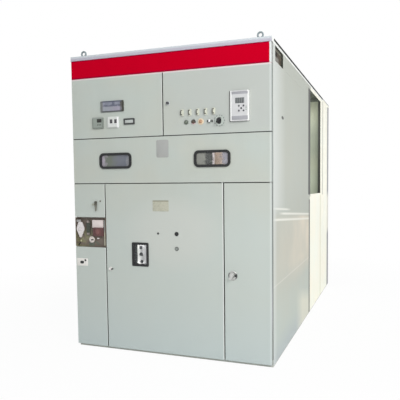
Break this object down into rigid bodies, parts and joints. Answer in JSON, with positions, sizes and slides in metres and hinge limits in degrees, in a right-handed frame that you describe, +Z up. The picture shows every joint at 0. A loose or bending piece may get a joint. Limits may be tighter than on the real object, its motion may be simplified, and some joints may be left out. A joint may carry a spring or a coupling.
{
  "type": "indoor high voltage switchgear cabinet",
  "caption": "Floor-standing sheet steel switchgear cabinet with instrument doors, observation windows, hinged lower doors, side bus openings and lifting eyes.",
  "frame": {"origin": "centre of the cabinet's box at floor level", "axes": "+Z up, +X to the right as seen from the front, -Y out of the doors"},
  "size_m": [1.84, 3.34, 2.6584],
  "materials": {
    "grey_paint": "satin sprayed enamel",
    "frame_paint": "satin sprayed enamel",
    "red_paint": "gloss sprayed enamel",
    "zinc": "zinc plated",
    "rubber": "moulded",
    "glass": "clear",
    "bronze_paint": "dull dark enamel",
    "white_enamel": "gloss enamel",
    "oxide_paint": "red oxide paint",
    "chrome": "polished",
    "black_plastic": "moulded",
    "grey_plastic": "moulded",
    "white_plastic": "moulded",
    "relay_plastic": "moulded",
    "strap_plastic": "moulded",
    "lamp_plastic": "moulded",
    "copper": "drawn bar",
    "board": "pressed glass fibre board"
  },
  "bodies": {
    "cabinet": {"base_frame": "frame_paint", "floor_plate": "frame_paint", "corner_posts": "frame_paint", "front_mullions": "frame_paint", "front_transoms": "frame_paint", "roof_cover": "grey_paint", "rear_roof": "grey_paint", "lifting_eyes": "zinc", "left_front_wall": "grey_paint", "right_front_wall": "grey_paint", "left_bus_wall": "grey_paint", "right_bus_wall": "grey_paint", "rear_side_walls": "grey_paint", "rear_covers": "grey_paint", "mid_partition": "grey_paint", "rear_bulkhead": "grey_paint", "chamber_floor": "grey_paint", "header_panel": "red_paint", "meter_door": "grey_paint", "relay_door": "grey_paint", "observation_panel": "grey_paint", "window_gaskets": "rubber", "window_panes": "glass", "left_top_panel": "grey_paint", "left_low_panel": "grey_paint", "hinge_brackets": "zinc", "niche_tray": "bronze_paint", "oval_plate": "white_enamel", "mechanism_casting": "oxide_paint", "mechanism_hub": "white_enamel", "mechanism_link": "zinc", "panel_latch": "zinc", "meter_case": "black_plastic", "meter_glass": "glass", "voltage_indicator": "grey_plastic", "climate_controller": "white_plastic", "counter": "black_plastic", "link_straps": "strap_plastic", "signal_lamps": "lamp_plastic", "selector_switch": "black_plastic", "control_switch": "black_plastic", "protection_relay": "relay_plastic", "upper_lock": "chrome", "control_bus_tray": "bronze_paint", "rod_supports": "black_plastic", "control_bus_rods": "copper", "breaker_housing": "grey_paint", "indicator_panel": "white_plastic", "phase_barriers": "board"},
    "centre_door": {"centre_door": "grey_paint", "port_frame": "rubber", "port_pane": "glass", "door_plugs": "rubber", "centre_lock": "chrome"},
    "right_door": {"right_door": "grey_paint", "right_handle": "zinc"}
  },
  "joints": [
    {"name": "centre_door_hinge", "type": "hinge", "parent": "cabinet", "child": "centre_door", "pos_m": [0.501, -1.62, 0.751], "axis": [0, 0, 1], "range_deg": [0, 90]},
    {"name": "right_door_hinge", "type": "hinge", "parent": "cabinet", "child": "right_door", "pos_m": [0.904, -1.62, 0.751], "axis": [0, 0, 1], "range_deg": [0, 110]}
  ]
}
